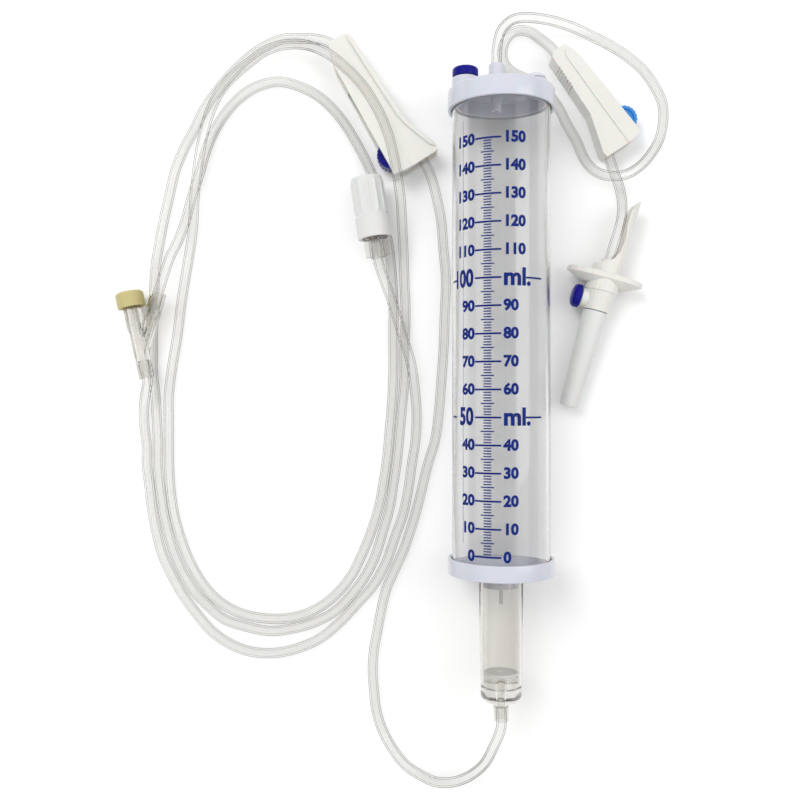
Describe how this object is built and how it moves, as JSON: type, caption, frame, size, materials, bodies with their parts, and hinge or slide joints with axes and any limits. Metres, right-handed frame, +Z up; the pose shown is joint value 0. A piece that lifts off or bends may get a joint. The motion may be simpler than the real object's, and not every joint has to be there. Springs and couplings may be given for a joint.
{
  "type": "iv infusion set",
  "caption": "Measured-volume infusion set laid flat: graduated burette with drip chamber, roller clamps, sheathed spike, side inlet and capped luer end on soft tubes",
  "frame": {"origin": "on the floor under the middle of the lying burette, leaving out the tubes and what is on them", "axes": "+Y along the burette from the drip chamber to the inlet cap, +Z up, +X to the side of the spike"},
  "size_m": [0.2242, 0.3131, 0.0413],
  "materials": {
    "burette": "clear, smooth, printed scale",
    "clear_mouldings": "clear, smooth moulded plastic",
    "tubes": "clear soft tube",
    "caps": "cool white, glossy",
    "milky": "milky white, satin",
    "frosted": "frosted, translucent",
    "navy": "dark blue",
    "azure": "bright blue",
    "amber": "amber soft rubber",
    "bung": "white soft rubber",
    "filters": "white filter disc",
    "needle": "fine steel tube"
  },
  "bodies": {
    "set": {"burette_tube": "burette", "top_cap": "caps", "vent_filter": "filters", "injection_port_bung": "bung", "bottom_cap": "caps", "drip_needle": "needle", "drip_chamber": "clear_mouldings", "chamber_filter": "filters", "drip_chamber_base": "clear_mouldings", "inlet_tube": "tubes", "main_tube": "tubes", "patient_tube": "tubes", "inlet_clamp_body": "milky", "spike": "milky", "spike_vent_filter": "filters", "main_clamp_body": "milky", "y_site_body": "clear_mouldings", "y_site_septum": "amber", "luer_connector": "clear_mouldings"},
    "vent_cap": {"vent_cap": "navy"},
    "inlet_clamp_wheel": {"inlet_clamp_wheel": "azure"},
    "main_clamp_wheel": {"main_clamp_wheel": "navy"},
    "spike_sheath": {"spike_sheath": "frosted"},
    "spike_vent_cap": {"spike_vent_cap": "navy"},
    "luer_cover": {"luer_cover": "frosted"}
  },
  "joints": [
    {"name": "vent_cap_pull", "type": "slide", "parent": "set", "child": "vent_cap", "axis": [0, 1, 0], "range_m": [0, 0.01]},
    {"name": "inlet_clamp_roll", "type": "slide", "parent": "set", "child": "inlet_clamp_wheel", "axis": [0.5563, -0.831, 0], "range_m": [-0.024, 0.002]},
    {"name": "main_clamp_roll", "type": "slide", "parent": "set", "child": "main_clamp_wheel", "axis": [0.5402, -0.8415, 0], "range_m": [-0.031, 0.0022]},
    {"name": "sheath_pull", "type": "slide", "parent": "set", "child": "spike_sheath", "axis": [-0.2616, -0.9639, -0.0501], "range_m": [0, 0.036]},
    {"name": "spike_vent_cap_pull", "type": "slide", "parent": "set", "child": "spike_vent_cap", "axis": [-0.9651, 0.2619, 0], "range_m": [0, 0.006]},
    {"name": "luer_cover_pull", "type": "slide", "parent": "set", "child": "luer_cover", "axis": [-0.1513, 0.9885, 0], "range_m": [0, 0.0055]}
  ]
}
